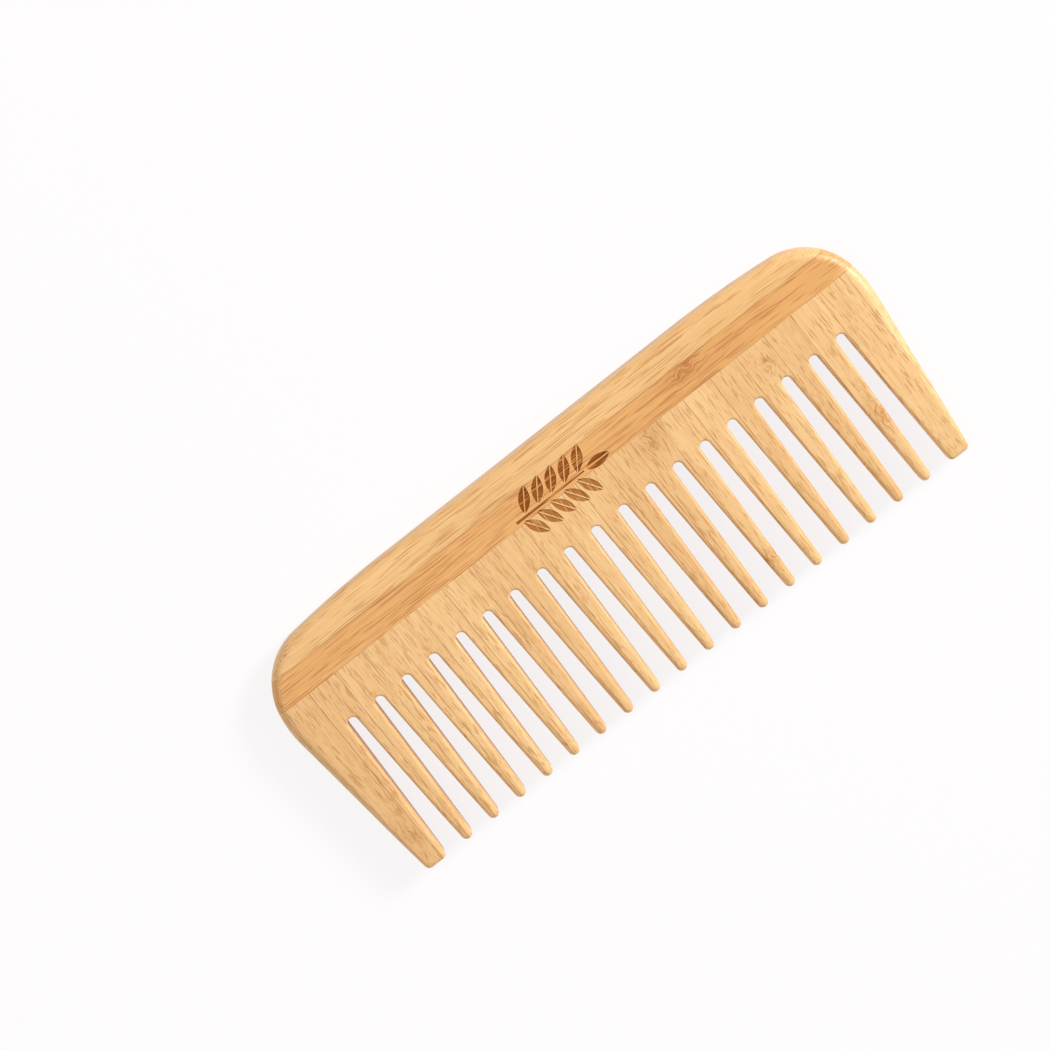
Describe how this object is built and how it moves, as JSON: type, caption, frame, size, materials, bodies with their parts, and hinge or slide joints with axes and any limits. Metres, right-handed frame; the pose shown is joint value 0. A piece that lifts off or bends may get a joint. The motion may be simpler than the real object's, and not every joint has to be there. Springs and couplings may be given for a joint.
{
  "type": "wide tooth comb",
  "caption": "Wide tooth hair comb of laminated bamboo: two strips along the spine over a plate of narrow strips with tapered, rounded teeth and wider end teeth.",
  "frame": {"origin": "under the middle of the comb's bounding box, on the plane that its back face lies on", "axes": "+X along the comb's length, +Y from the teeth towards the spine, +Z out of the front face"},
  "size_m": [0.185, 0.071, 0.009],
  "materials": {
    "bamboo_pale": "sanded smooth, thin satin oil",
    "bamboo_dark": "sanded smooth, thin satin oil",
    "bamboo_plate": "sanded smooth, thin satin oil"
  },
  "bodies": {
    "root": {"spine_outer_strip": "bamboo_pale", "spine_inner_strip": "bamboo_dark", "tooth_strip_01": "bamboo_plate", "tooth_strip_02": "bamboo_plate", "tooth_strip_03": "bamboo_plate", "tooth_strip_04": "bamboo_plate", "tooth_strip_05": "bamboo_plate", "tooth_strip_06": "bamboo_plate", "tooth_strip_07": "bamboo_plate", "tooth_strip_08": "bamboo_plate", "tooth_strip_09": "bamboo_plate", "tooth_strip_10": "bamboo_plate", "tooth_strip_11": "bamboo_plate", "tooth_strip_12": "bamboo_plate", "tooth_strip_13": "bamboo_plate", "tooth_strip_14": "bamboo_plate", "tooth_strip_15": "bamboo_plate", "tooth_strip_16": "bamboo_plate", "tooth_strip_17": "bamboo_plate", "tooth_strip_18": "bamboo_plate", "tooth_strip_19": "bamboo_plate", "tooth_strip_20": "bamboo_plate", "tooth_strip_21": "bamboo_plate", "tooth_strip_22": "bamboo_plate"}
  },
  "joints": []
}
